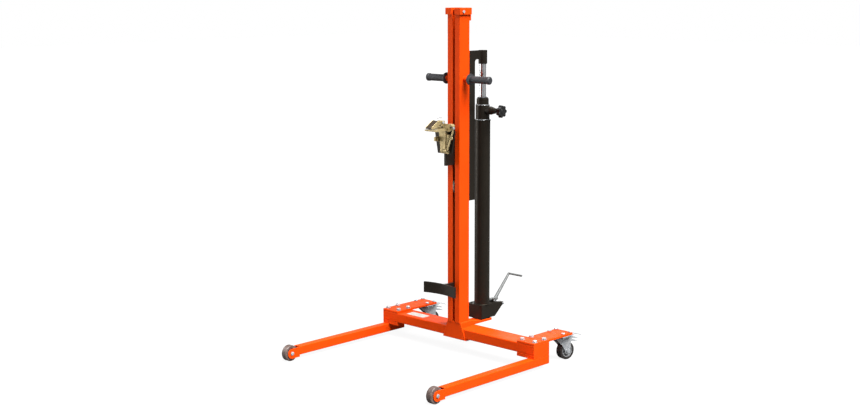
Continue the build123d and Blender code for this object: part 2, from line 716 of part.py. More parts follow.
with BuildPart() as cylinder_head:
    # each step of the turned head: bottom, top, radius
    for z0, z1, radius in (
        (HEAD_Z0, TUBE_Z1, BORE_R), (TUBE_Z1, 1106, 38.5), (1106, 1108.5, 35), (1108.5, 1176, 33),
        (1176, 1179, 31), (1179, HEAD_Z1 - 5, 29), (HEAD_Z1 - 5, HEAD_Z1, 26.5)
    ):
        with BuildSketch(Plane.XY.offset(z0)):
            with Locations((0, CYL_Y)):
                Circle(radius)
        extrude(amount=z1 - z0)
    with BuildSketch(along_x(VALVE_X[0], CYL_Y, KNOB_Z)):
        Circle(VALVE_R)
    extrude(amount=VALVE_X[1] - VALVE_X[0])
    with BuildSketch(along_x(VALVE_X[1], CYL_Y, KNOB_Z)):
        Circle(VALVE_R)
    with BuildSketch(along_x(VALVE_X[2], CYL_Y, KNOB_Z)):
        Circle(VALVE_TIP_R)
    loft()
    with BuildSketch(along_x(40, CYL_Y, KNOB_Z)):
        Circle(STEM_R + FIT)
    extrude(amount=60, mode=Mode.SUBTRACT)
    with BuildSketch(Plane.XY.offset(HEAD_Z0 - 5)):
        with Locations((0, CYL_Y)):
            Circle(ROD_R + FIT)
    extrude(amount=HEAD_Z1 - HEAD_Z0 + 10, mode=Mode.SUBTRACT)
save(cylinder_head.part, "cylinder_head")

with BuildPart() as release_knob:
    with BuildSketch(along_x(42, CYL_Y, KNOB_Z)):
        Circle(STEM_R)
    extrude(amount=KNOB_X[0] + 1 - 42)
    with BuildSketch(along_x(KNOB_X[0], CYL_Y, KNOB_Z)):
        Circle(KNOB_COLLAR_R)
    extrude(amount=KNOB_X[1] - KNOB_X[0])
    with BuildSketch(along_x(KNOB_X[1], CYL_Y, KNOB_Z)):
        Circle(KNOB_R)
        with PolarLocations(KNOB_LOBE[0], KNOB_LOBE[2]):
            Circle(KNOB_LOBE[1])
    extrude(amount=KNOB_X[2] - KNOB_X[1])
    fillet(release_knob.faces().sort_by(Axis.X)[-1].edges(), 2)
save(release_knob.part, "release_knob")

with BuildPart() as piston_rod:
    with BuildSketch(Plane.XY.offset(PISTON_Z[0])):
        with Locations((0, CYL_Y)):
            Circle(BORE_R - FIT)
    extrude(amount=PISTON_Z[1] - PISTON_Z[0])
    with BuildSketch(Plane.XY.offset(PISTON_Z[1])):
        with Locations((0, CYL_Y)):
            Circle(ROD_R)
    extrude(amount=ROD_Z1 - PISTON_Z[1])
save(piston_rod.part, "piston_rod")

with BuildPart() as pump_block:
    with BuildSketch(side_plane(PUMP_X0)):
        Polygon(
            (PUMP_Y[0], PUMP_Z0), (PUMP_Y[1], PUMP_Z0), (PUMP_Y[1], PUMP_Z1), (PUMP_Y[0], PUMP_Z1), align=None
        )
    extrude(amount=PUMP_X1 - PUMP_X0)
    with BuildSketch(side_plane(-PUMP_X1)):
        Polygon(
            (190, PUMP_Z0), (199, PUMP_Z0), (250, 184), (262, 190), (262, 199), (256, 203), (190, PUMP_Z1),
            align=None
        )
    extrude(amount=2 * PUMP_X1)
    with BuildSketch(Plane.XY.offset(PUMP_POCKET_Z)):
        with Locations((0, 236)):
            Rectangle(30, 60)
    extrude(amount=40, mode=Mode.SUBTRACT)
    for x in (-EAR_X[1], EAR_X[0]):
        with BuildSketch(side_plane(x)):
            with Locations((PEDAL_Y, PEDAL_Z)):
                Circle(EAR_R)
            with Locations((PEDAL_Y, PUMP_Z1)):
                Rectangle(2 * EAR_R, 16)
        extrude(amount=EAR_X[1] - EAR_X[0])
    with BuildSketch(Plane.XY.offset(PUMP_PLATE_Z1)):
        with Locations((PUMP_SPIGOT[0], CYL_Y)):
            Circle(PUMP_SPIGOT[1])
    extrude(amount=PUMP_Z0 - PUMP_PLATE_Z1)
    with BuildSketch(along_x(-PUMP_X1, PEDAL_Y, PEDAL_Z)):
        Circle(PIN_R)
    extrude(amount=2 * PUMP_X1, mode=Mode.SUBTRACT)
    with BuildSketch(along_x(-REAR_PIN_HALF, *REAR_PIN)):
        Circle(PIN_R)
    extrude(amount=2 * REAR_PIN_HALF, mode=Mode.SUBTRACT)
    with BuildSketch(Plane.XY.offset(PLUNGER_Z[0] - 13)):
        with Locations((0, PLUNGER_Y)):
            Circle(PLUNGER_R + FIT)
    extrude(amount=30, mode=Mode.SUBTRACT)
    fillet(pump_block.edges().filter_by(Axis.Z).sort_by(Axis.Y)[:2], 6)
save(pump_block.part, "pump_block")

with BuildPart() as pump_pins:
    for y, z, half in ((PEDAL_Y, PEDAL_Z, EAR_X[1] + 2), (*REAR_PIN, REAR_PIN_HALF)):
        with BuildSketch(along_x(-half, y, z)):
            Circle(PIN_R)
        extrude(amount=2 * half)
save(pump_pins.part, "pump_pins")

with BuildPart() as pump_plunger:
    for (z0, z1), radius in ((PLUNGER_Z, PLUNGER_R), (PLUNGER_CAP_Z, PLUNGER_CAP_R)):
        with BuildSketch(Plane.XY.offset(z0)):
            with Locations((0, PLUNGER_Y)):
                Circle(radius)
        extrude(amount=z1 - z0)
save(pump_plunger.part, "pump_plunger")

with BuildPart() as foot_lever:
    with BuildSketch(along_x(-15, PEDAL_Y, PEDAL_Z)):
        Circle(8)
    extrude(amount=30)
    with BuildSketch(side_plane(-LEVER_SOCKET_HALF)):
        Polygon((205, 210), (243, 209.5), (250, 216), (246, 222), (205, 222), align=None)
    extrude(amount=2 * LEVER_SOCKET_HALF)
    with BuildSketch(along_x(-LEVER_SOCKET_HALF, PLUNGER_Y, 211)):
        Circle(6)
    extrude(amount=2 * LEVER_SOCKET_HALF)
    with BuildSketch(along_x(-16, PEDAL_Y, PEDAL_Z)):
        Circle(PIN_R + FIT)
    extrude(amount=32, mode=Mode.SUBTRACT)
    slope = (0, LEVER_ELBOW[0] - LEVER_ROOT[0], LEVER_ELBOW[1] - LEVER_ROOT[1])
    with BuildSketch(Plane(origin=(0, *LEVER_ROOT), z_dir=slope)):
        Circle(LEVER_R[0])
    with BuildSketch(Plane(origin=(0, *LEVER_ELBOW), z_dir=slope)):
        Circle(LEVER_R[1])
    loft()
    with Locations((0, *LEVER_ELBOW)):
        Sphere(LEVER_ELBOW_R)
    with BuildSketch(along_x(0, *LEVER_ELBOW)):
        Circle(LEVER_ARM_R)
    extrude(amount=LEVER_ARM)
save(foot_lever.part, "foot_lever")

# ======================= carriage =======================

with BuildPart() as carriage:
    with BuildSketch(side_plane(-CARRIAGE_HALF)):
        with BuildLine():
            Polyline(
                (-50, SPINE_Z0), (SADDLE_Y + 8, 301), (SADDLE_Y + 8, 350), (-100, 346), (-50, 346),
                (-50, 909),
                (-121, 909), (-121, 970.5), (-130, 973), (-135.5, 980), (-136, 986), (-130, 992), (-113, 993),
                (-113, 1074), (-50, 1074), (-8, 1034), (12, 1034), (12, HOOK_Z), (CYL_Y - 5, HOOK_Z),
                (CYL_Y - 5, 1392), (BAR_Y1 + 10, 1392), (BAR_Y1 + 3, 1389), (BAR_Y1, 1382),
                (BAR_Y1, BAR_Z0), (-8, BAR_Z0), (-8, SPINE_Z0), (-50, SPINE_Z0)
            )
        make_face()
        with Locations((CLAMP_Y, CLAMP_Z), (GUIDE_Y, ROLLER_Z_LOW), (GUIDE_Y, ROLLER_Z_HIGH)):
            Circle(CLAMP_PIN_R, mode=Mode.SUBTRACT)
    extrude(amount=2 * CARRIAGE_HALF)
    with BuildSketch(Plane.XZ.offset(113)):
        Polygon((-68, 1074), (60, 1074), (39, 966), (-48, 966), align=None)
        Polygon((-20, 1000), (-20, 960), (-CARRIAGE_HALF, 960), (-CARRIAGE_HALF, 1000), align=None,
                mode=Mode.SUBTRACT)
        Polygon((25, 1000), (25, 960), (CARRIAGE_HALF, 960), (CARRIAGE_HALF, 1000), align=None,
                mode=Mode.SUBTRACT)
    extrude(amount=6)
    with BuildSketch(Plane.XY.offset(1370)):
        with Locations((0, CYL_Y)):
            Circle(21)
    extrude(amount=HOOK_Z - 1370)
    with BuildSketch(Plane.XY.offset(1370)):
        with Locations((0, CYL_Y)):
            Circle(ROD_R)
    extrude(amount=50, mode=Mode.SUBTRACT)
save(carriage.part, "carriage")

with BuildPart() as drum_saddle:
    with BuildSketch(Plane.XY.offset(SADDLE_Z0)):
        with Locations((0, SADDLE_Y - SADDLE_R)):
            Circle(SADDLE_R + SADDLE_T)
            Circle(SADDLE_R, mode=Mode.SUBTRACT)
        with Locations((0, SADDLE_Y)):
            Rectangle(SADDLE_W, 80, mode=Mode.INTERSECT)
    extrude(amount=SADDLE_H)
save(drum_saddle.part, "drum_saddle")

with BuildPart() as guide_axles:
    for z in (ROLLER_Z_LOW, ROLLER_Z_HIGH):
        with BuildSketch(along_x(-GUIDE_AXLE_HALF, GUIDE_Y, z)):
            Circle(GUIDE_AXLE_R)
        extrude(amount=2 * GUIDE_AXLE_HALF)
save(guide_axles.part, "guide_axles")


def guide_rollers(z):
    """Pair of rollers on one axle, running between the channel flanges."""
    with BuildPart() as piece:
        for x in (-GUIDE_AXLE_HALF, GUIDE_AXLE_HALF - GUIDE_W):
            with BuildSketch(along_x(x, GUIDE_Y, z)):
                Circle(GUIDE_R)
                Circle(GUIDE_AXLE_R + FIT, mode=Mode.SUBTRACT)
            extrude(amount=GUIDE_W)
        chamfer(piece.edges().filter_by(lambda e: e.length > 150), 1)
    return piece.part


save(guide_rollers(ROLLER_Z_LOW), "lower_guide_rollers")
save(guide_rollers(ROLLER_Z_HIGH), "upper_guide_rollers")

# ======================= rim clamp =======================

with BuildPart() as clamp_body:
    with BuildSketch(Plane.XZ.offset(120)):
        Polygon(
            (-55, 1077), (-19, 1106), (15, 1106), (54, 1108), (60, 1101), (60, 1084), (47, 1073), align=None
        )
    extrude(amount=20)
    with BuildSketch(Plane.XZ.offset(124)):
        Polygon((-24, 1075), (24, 1075), (24, 1058), (39, 1055), (22, 984), (-12, 984), align=None)
        Polygon((-27, 1022), (-27, 1046), (0, 1046), (0, 1022), align=None)
    extrude(amount=14)
    with BuildSketch(Plane.XZ.offset(138)):
        Polygon((-19, 1074), (24, 1073), (19, 990), (-8, 986), align=None)
    extrude(amount=5)
    with BuildSketch(along_x(-13, CLAMP_Y, CLAMP_Z)):
        Circle(CLAMP_BOSS_R)
    extrude(amount=37)
    with BuildSketch(side_plane(-30)):
        Polygon((-130, 1076), (-216, 1076), (-226, 1079), (-226, 1084), (-130, 1086), align=None)
    extrude(amount=60)
    with BuildSketch(side_plane(-27)):
        Polygon((-130, 1022), (-167, 1026), (-167, 1044), (-160, 1046), (-130, 1046), align=None)
    extrude(amount=9)
    for x in (-15, 9.1):
        with BuildSketch(side_plane(x)):
            Polygon(
                (-158, 1098), (-134, 1098), (-136, 1118), (-140, 1122), (-152, 1122), (-158, 1116), align=None
            )
        extrude(amount=5.9)
    with BuildSketch(along_x(-7, CLAMP_Y, CLAMP_Z)):
        Circle(12.6)
    extrude(amount=14, mode=Mode.SUBTRACT)
    with BuildSketch(side_plane(-7)):
        Polygon((-124, 960), (-100, 960), (-100, 1000), (-124, 1000), align=None)
    extrude(amount=14, mode=Mode.SUBTRACT)
    with BuildSketch(along_x(-40, CLAMP_Y, CLAMP_Z)):
        Circle(CLAMP_PIN_R + FIT)
    extrude(amount=80, mode=Mode.SUBTRACT)
    with BuildSketch(along_x(-30, BEAK_Y, BEAK_Z)):
        Circle(BEAK_PIN_R)
    extrude(amount=60, mode=Mode.SUBTRACT)
save(clamp_body.part, "clamp_body")

with BuildPart() as clamp_pins:
    with BuildSketch(along_x(-17, CLAMP_Y, CLAMP_Z)):
        Circle(CLAMP_PIN_R)
    extrude(amount=35)
    with BuildSketch(along_x(-18, BEAK_Y, BEAK_Z)):
        Circle(BEAK_PIN_R)
    extrude(amount=36)
save(clamp_pins.part, "clamp_pins")

with BuildPart() as beak:
    with BuildSketch(side_plane(-BEAK_HALF)):
        Polygon(*BEAK_PROFILE, align=None)
    extrude(amount=2 * BEAK_HALF)
save(beak.part, "beak")

with BuildPart() as beak_arm:
    with BuildSketch(side_plane(-9)):
        Polygon(
            (-176, 1110), (-176, 1121), (-150, 1123), (-141, 1120), (-139, 1113), (-144, 1107), (-160, 1107),
            align=None
        )
        with Locations((BEAK_Y, BEAK_Z)):
            Circle(4 + FIT, mode=Mode.SUBTRACT)
    extrude(amount=18)
save(beak_arm.part, "beak_arm")

with BuildPart() as beak_cheeks:
    for x in (-BEAK_HALF - CHEEK_T, BEAK_HALF):
        with BuildSketch(side_plane(x)):
            Polygon(
                (-229, 1088), (-231, 1096), (-185, 1125.5), (-168, 1123), (-168, 1108), (-186, 1104),
                (-212, 1088.5), align=None
            )
        extrude(amount=CHEEK_T)
save(beak_cheeks.part, "beak_cheeks")

with BuildPart() as beak_wire:
    with BuildLine() as wire_path:
        Spline(
            (0, -186, 1122.9), (0, -183, 1128), (0, -164, 1135), (0, -140, 1133),
            tangents=[(0, 0, 1), (0, 1, -0.2)]
        )
    with BuildSketch(Plane(origin=(0, -186, 1122.9), z_dir=(0, 0, 1))):
        Circle(1.8)
    sweep(path=wire_path.line)
    with BuildSketch(side_plane(-BEAK_HALF)):
        Polygon(*BEAK_PROFILE, align=None)
    extrude(amount=2 * BEAK_HALF, mode=Mode.SUBTRACT)
save(beak_wire.part, "beak_wire")

with BuildPart() as clamp_side_link:
    with BuildSketch(Plane.XZ.offset(132)):
        Polygon((60, 1099), (65, 1099), (65, 1073), (29, 982), (24, 984), (60, 1075), align=None)
        with Locations((53, 1042)):
            Circle(7)
            Circle(3.5, mode=Mode.SUBTRACT)
    extrude(amount=6)
save(clamp_side_link.part, "clamp_side_link")

with BuildPart() as clamp_bolt:
    with BuildSketch(along_x(65, -135, 1090)):
        RegularPolygon(5.5, 6, major_radius=False)
    extrude(amount=5)
save(clamp_bolt.part, "clamp_bolt")
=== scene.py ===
"""Looks for a hydraulic drum stacker: finishes for every CAD node, and the small parts the CAD leaves plain."""
import json
import math
import random

import bpy
from mathutils import Matrix, Vector


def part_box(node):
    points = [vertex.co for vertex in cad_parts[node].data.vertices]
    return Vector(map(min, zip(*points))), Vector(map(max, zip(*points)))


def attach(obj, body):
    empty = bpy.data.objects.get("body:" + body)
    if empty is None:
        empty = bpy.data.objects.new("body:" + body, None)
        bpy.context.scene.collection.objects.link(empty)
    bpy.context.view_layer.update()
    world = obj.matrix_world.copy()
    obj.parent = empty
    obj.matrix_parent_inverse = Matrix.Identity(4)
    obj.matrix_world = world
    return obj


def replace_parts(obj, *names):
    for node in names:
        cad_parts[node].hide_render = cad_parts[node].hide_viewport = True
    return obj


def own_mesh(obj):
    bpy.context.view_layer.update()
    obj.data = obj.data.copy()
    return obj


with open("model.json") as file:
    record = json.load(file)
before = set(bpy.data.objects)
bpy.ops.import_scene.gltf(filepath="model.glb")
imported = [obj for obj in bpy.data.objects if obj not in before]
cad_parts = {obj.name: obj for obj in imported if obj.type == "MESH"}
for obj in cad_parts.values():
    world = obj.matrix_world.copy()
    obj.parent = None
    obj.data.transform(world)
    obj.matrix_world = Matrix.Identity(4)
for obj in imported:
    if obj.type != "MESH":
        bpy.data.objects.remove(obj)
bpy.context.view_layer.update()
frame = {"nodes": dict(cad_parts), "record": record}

MM = 0.001
NODES = frame["nodes"]
SLOT_OF = {row["node"]: row["material_slot"] for row in frame["record"]["subparts"]}


# ============================ node-tree helpers ============================

class Tree:
    """A short way to write one material's node tree."""

    def __init__(self, name):
        self.material = bpy.data.materials.new(name)
        self.material.use_nodes = True
        self.nodes = self.material.node_tree.nodes
        self.links = self.material.node_tree.links
        self.nodes.clear()
        self.coords = self.add("ShaderNodeTexCoord").outputs["Object"]

    def add(self, kind, inputs=None, **settings):
        n = self.nodes.new(kind)
        for key, value in settings.items():
            setattr(n, key, value)
        for key, value in (inputs or {}).items():
            if isinstance(value, bpy.types.NodeSocket):
                self.links.new(value, n.inputs[key])
            else:
                n.inputs[key].default_value = value
        return n

    def noise(self, scale, detail=3.0, rough=0.55, stretch=(1, 1, 1), distortion=0.0):
        """Noise in metres: scale is in cells per metre, stretch squeezes it along an axis."""
        v = self.add("ShaderNodeMapping", {"Vector": self.coords, "Scale": stretch}).outputs[0]
        return self.add("ShaderNodeTexNoise", {
            "Vector": v, "Scale": scale, "Detail": detail, "Roughness": rough, "Distortion": distortion,
        }).outputs["Fac"]

    def ramp(self, fac, lo, hi, a=0.0, b=1.0):
        return self.add("ShaderNodeMapRange", {
            "Value": fac, "From Min": lo, "From Max": hi, "To Min": a, "To Max": b,
        }).outputs["Result"]

    def math(self, op, a, b=0.0):
        return self.add("ShaderNodeMath", {0: a, 1: b}, operation=op, use_clamp=False).outputs[0]

    def mix(self, fac, a, b):
        """Colour a turning into colour b."""
        n = self.add("ShaderNodeMix", data_type="RGBA")
        for index, value in ((0, fac), (6, a), (7, b)):
            if isinstance(value, bpy.types.NodeSocket):
                self.links.new(value, n.inputs[index])
            else:
                n.inputs[index].default_value = value if index == 0 else (*value, 1.0)
        return n.outputs[2]

    def edges(self, radius, lo=0.02, hi=0.2):
        """1 along convex and concave edges, fading to 0 on flat faces."""
        bevel = self.add("ShaderNodeBevel", {"Radius": radius}, samples=4).outputs[0]
        normal = self.add("ShaderNodeNewGeometry").outputs["Normal"]
        dot = self.add("ShaderNodeVectorMath", {0: bevel, 1: normal}, operation="DOT_PRODUCT").outputs["Value"]
        return self.ramp(self.math("SUBTRACT", 1.0, dot), lo, hi)

    def cavity(self, distance):
        """1 in tight corners, 0 in the open."""
        ao = self.add("ShaderNodeAmbientOcclusion", {"Distance": distance}, samples=4).outputs["AO"]
        return self.ramp(ao, 0.35, 0.95, 1.0, 0.0)

    def bump(self, height, strength, distance, below=None):
        inputs = {"Height": height, "Strength": strength, "Distance": distance}
        if below is not None:
            inputs["Normal"] = below
        return self.add("ShaderNodeBump", inputs).outputs[0]

    def finish(self, color, roughness, metallic=0.0, normal=None, **extra):
        inputs = {"Base Color": color, "Roughness": roughness, "Metallic": metallic}
        if normal is not None:
            inputs["Normal"] = normal
        for key, value in extra.items():
            inputs[key.replace("_", " ")] = value
        shader = self.add("ShaderNodeBsdfPrincipled", inputs).outputs[0]
        out = self.add("ShaderNodeOutputMaterial")
        self.links.new(shader, out.inputs["Surface"])
        return self.material


# ============================ finishes ============================

def painted(name, base, deep, light, grime_and_shade, roughness, peel, chip, rim_highlight, sheen=(1, 1, 1), gloss=0.3):
    """Sprayed or powder-coated metal: mottled colour, orange peel, a painted highlight and chipped paint on edges,
    soiling and painted shade in corners.
    """
    t = Tree(name)
    broad = t.ramp(t.noise(7.0, 4.0), 0.3, 0.7)
    fine = t.ramp(t.noise(420.0, 2.0), 0.35, 0.65)
    color = t.mix(broad, deep, base)
    color = t.mix(t.math("MULTIPLY", fine, 0.35), color, light)
    # painted highlight: a lighter colour along convex and concave edges stands in for light caught by the edges
    color = t.mix(t.math("MULTIPLY", t.edges(0.0022), 0.7), color, rim_highlight)
    # corners and creases turn toward the soiling colour: darker on the orange and grey paints, which is painted shade,
    # and lighter dust on the black paint; the same mask roughens the paint below
    corner_grime_and_shade = t.math("MULTIPLY", t.cavity(0.012), t.ramp(t.noise(60.0, 5.0), 0.35, 0.7))
    color = t.mix(t.math("MULTIPLY", corner_grime_and_shade, 0.5), color, grime_and_shade)
    worn = t.math("MULTIPLY", t.edges(0.0010, 0.10, 0.3), t.ramp(t.noise(230.0, 6.0, 0.7), 0.64, 0.68))
    color = t.mix(worn, color, chip)
    rough = t.ramp(t.noise(38.0, 4.0), 0.3, 0.7, roughness - 0.05, roughness + 0.08)
    rough = t.math("ADD", rough, t.math("MULTIPLY", corner_grime_and_shade, 0.2))
    height = t.noise(520.0, 2.0, 0.4)
    normal = t.bump(height, peel, 0.0004)
    normal = t.bump(worn, 0.4, -0.0002, normal)
    return t.finish(color, rough, 0.0, normal, Specular_IOR_Level=gloss, Specular_Tint=(*sheen, 1.0))


def plated(name, base, tint, roughness, grain, grain_dir, patch=0.5, metallic=1.0):
    """Bright or passivated plating: cloudy tint, fine grain, painted highlights along edges, painted shade in corners.
    """
    t = Tree(name)
    cloud = t.ramp(t.noise(55.0, 4.0, 0.6, distortion=0.6), 0.35, 0.65)
    color = t.mix(t.math("MULTIPLY", cloud, patch), base, tint)
    spots = t.ramp(t.noise(900.0, 3.0), 0.5, 0.75)
    color = t.mix(t.math("MULTIPLY", spots, 0.25), color, tuple(0.55 * c for c in base))
    # painted highlight: edges turn toward a lighter copy of the plating colour
    bright = tuple(min(1.0, 1.3 * c + 0.12) for c in base)
    color = t.mix(t.math("MULTIPLY", t.edges(0.0012), 0.8), color, bright)
    # painted shade: corners and recesses turn toward a near-black copy of the plating colour
    painted_corner_shade = t.cavity(0.009)
    color = t.mix(t.math("MULTIPLY", painted_corner_shade, 0.85), color, tuple(0.10 * c for c in base))
    rough = t.ramp(t.noise(140.0, 4.0), 0.3, 0.7, roughness - 0.06, roughness + 0.1)
    normal = t.bump(t.noise(1500.0, 2.0, 0.5, grain_dir), grain, 0.00015)
    return t.finish(color, rough, metallic, normal)


def moulded(name, base, light, roughness, texture, scale):
    """Moulded rubber or plastic: slight cloudiness, fine mould texture, lighter scuffed edges."""
    t = Tree(name)
    color = t.mix(t.ramp(t.noise(25.0, 4.0), 0.35, 0.65), base, tuple(1.25 * c for c in base))
    scuff = t.math("MULTIPLY", t.edges(0.0015), t.ramp(t.noise(160.0, 5.0), 0.4, 0.6))
    color = t.mix(t.math("MULTIPLY", scuff, 0.5), color, light)
    dust = t.math("MULTIPLY", t.cavity(0.006), 0.35)
    color = t.mix(dust, color, light)
    rough = t.ramp(t.noise(90.0, 3.0), 0.3, 0.7, roughness - 0.06, roughness + 0.08)
    normal = t.bump(t.noise(scale, 3.0), texture, 0.0003)
    return t.finish(color, rough, 0.0, normal)


def rolled(name, base, scuffed, roughness):
    """Wheel tread: dark sides and a scuffed, finely scratched running band."""
    t = Tree(name)
    streak = t.ramp(t.noise(380.0, 5.0, 0.65, (4.0, 1.0, 1.0)), 0.4, 0.65)
    patch = t.ramp(t.noise(45.0, 4.0), 0.35, 0.7)
    color = t.mix(t.math("MULTIPLY", streak, patch), base, scuffed)
    color = t.mix(t.math("MULTIPLY", t.edges(0.002), 0.4), color, scuffed)
    pits = t.ramp(t.noise(700.0, 4.0, 0.7), 0.62, 0.7)
    color = t.mix(t.math("MULTIPLY", pits, 0.5), color, tuple(0.4 * c for c in base))
    rough = t.ramp(t.noise(120.0, 4.0), 0.3, 0.7, roughness - 0.08, roughness + 0.08)
    normal = t.bump(t.noise(800.0, 4.0, 0.6), 0.35, 0.0003)
    return t.finish(color, rough, 0.0, normal)


ORANGE = (0.745, 0.058, 0.0025)
BLACK = (0.0070, 0.0056, 0.0040)
# In each painted finish, the fourth colour is the soiling colour that also paints shade into corners, and the sixth is
# the painted edge highlight.
FINISHES = {
    "frame_paint": painted(
        "frame_paint", ORANGE, (0.715, 0.050, 0.002), (0.80, 0.073, 0.004), (0.22, 0.022, 0.003),
        0.42, 0.22, (0.30, 0.24, 0.19), (0.92, 0.17, 0.035), (1.0, 0.50, 0.20), 0.08),
    "black_paint": painted(
        "black_paint", BLACK, (0.0046, 0.0038, 0.0028), (0.018, 0.016, 0.013), (0.014, 0.010, 0.007),
        0.38, 0.25, (0.20, 0.18, 0.16), (0.030, 0.027, 0.023), (0.95, 0.80, 0.62)),
    "lever_paint": painted(
        "lever_paint", (0.130, 0.135, 0.133), (0.095, 0.10, 0.098), (0.18, 0.185, 0.182), (0.04, 0.036, 0.03),
        0.32, 0.18, (0.10, 0.09, 0.08), (0.22, 0.225, 0.22)),
    "zinc_steel": plated(
        "zinc_steel", (0.56, 0.575, 0.58), (0.34, 0.365, 0.39), 0.36, 0.5, (1, 1, 1), 1.0, 0.5),
    "rod_chrome": plated("rod_chrome", (0.80, 0.81, 0.82), (0.70, 0.72, 0.74), 0.12, 0.10, (1, 1, 0.05), 0.3),
    "clamp_passivated": plated(
        "clamp_passivated", (0.65, 0.51, 0.26), (0.36, 0.285, 0.135), 0.36, 0.5, (1, 1, 1), 0.9, 0.6),
    "beak_steel": plated("beak_steel", (0.085, 0.058, 0.034), (0.035, 0.022, 0.014), 0.46, 0.5, (1, 1, 1), 0.9, 0.4),
    "grip_rubber": moulded("grip_rubber", (0.020, 0.021, 0.024), (0.11, 0.11, 0.12), 0.55, 0.35, 1400.0),
    "knob_plastic": moulded("knob_plastic", (0.005, 0.005, 0.005), (0.05, 0.05, 0.05), 0.34, 0.2, 1800.0),
    "guide_nylon": moulded("guide_nylon", (0.34, 0.33, 0.29), (0.20, 0.185, 0.15), 0.45, 0.2, 1500.0),
    "wheel_centre": moulded("wheel_centre", (0.17, 0.175, 0.18), (0.27, 0.275, 0.28), 0.36, 0.2, 1500.0),
    "label_white": moulded("label_white", (0.46, 0.445, 0.41), (0.36, 0.345, 0.31), 0.30, 0.1, 900.0),
    "roller_nylon": rolled("roller_nylon", (0.075, 0.046, 0.038), (0.27, 0.21, 0.19), 0.42),
    "tread": rolled("tread", (0.0075, 0.0052, 0.0045), (0.030, 0.022, 0.019), 0.55),
}

EDGE_MM = {
    "cross_beam": 0.6, "beam_end_plates": 0.8, "leg_flanges": 1.0, "beam_feet": 1.0, "left_leg": 0.5, "right_leg": 0.5,
    "left_outrigger_plate": 1.2, "right_outrigger_plate": 1.2, "mast_base": 1.2, "front_gusset": 1.2,
    "bottom_plate": 1.0, "pump_plate": 1.2, "mast_caps": 0.8, "mast_tabs": 1.0, "pump_block": 1.6, "carriage": 0.9,
    "drum_saddle": 1.0, "clamp_body": 0.9, "clamp_side_link": 0.5, "beak": 0.9, "beak_arm": 0.8, "beak_cheeks": 0.5,
    "left_caster_plate": 0.8, "right_caster_plate": 0.8, "left_caster_fork": 0.6, "right_caster_fork": 0.6,
    "left_brake_pedal": 0.8, "right_brake_pedal": 0.8, "left_caster_rim": 0.8, "right_caster_rim": 0.8,
    "cylinder_head": 0.7, "cylinder_tube": 0.6, "piston_rod": 0.4, "clamp_pins": 0.7, "clamp_bolt": 0.7,
    "pump_pins": 0.7, "pump_plunger": 0.6, "data_plate": 0.2, "foot_lever": 0.3,
}


def soften(obj, width_mm):
    """Small rounded edges on a piece with sharp ones."""
    weld = obj.modifiers.new("weld", "WELD")
    weld.merge_threshold = 0.01 * MM
    bevel = obj.modifiers.new("bevel", "BEVEL")
    bevel.limit_method = "ANGLE"
    bevel.angle_limit = math.radians(38)
    bevel.width = width_mm * MM
    bevel.segments = 2
    bevel.use_clamp_overlap = True
    obj.modifiers.new("normals", "WEIGHTED_NORMAL").keep_sharp = False


for node_name, node_obj in NODES.items():
    node_obj.data.materials.clear()
    node_obj.data.materials.append(FINISHES[SLOT_OF[node_name]])
    if node_name in EDGE_MM:
        soften(node_obj, EDGE_MM[node_name])


# ============================ mesh helpers ============================

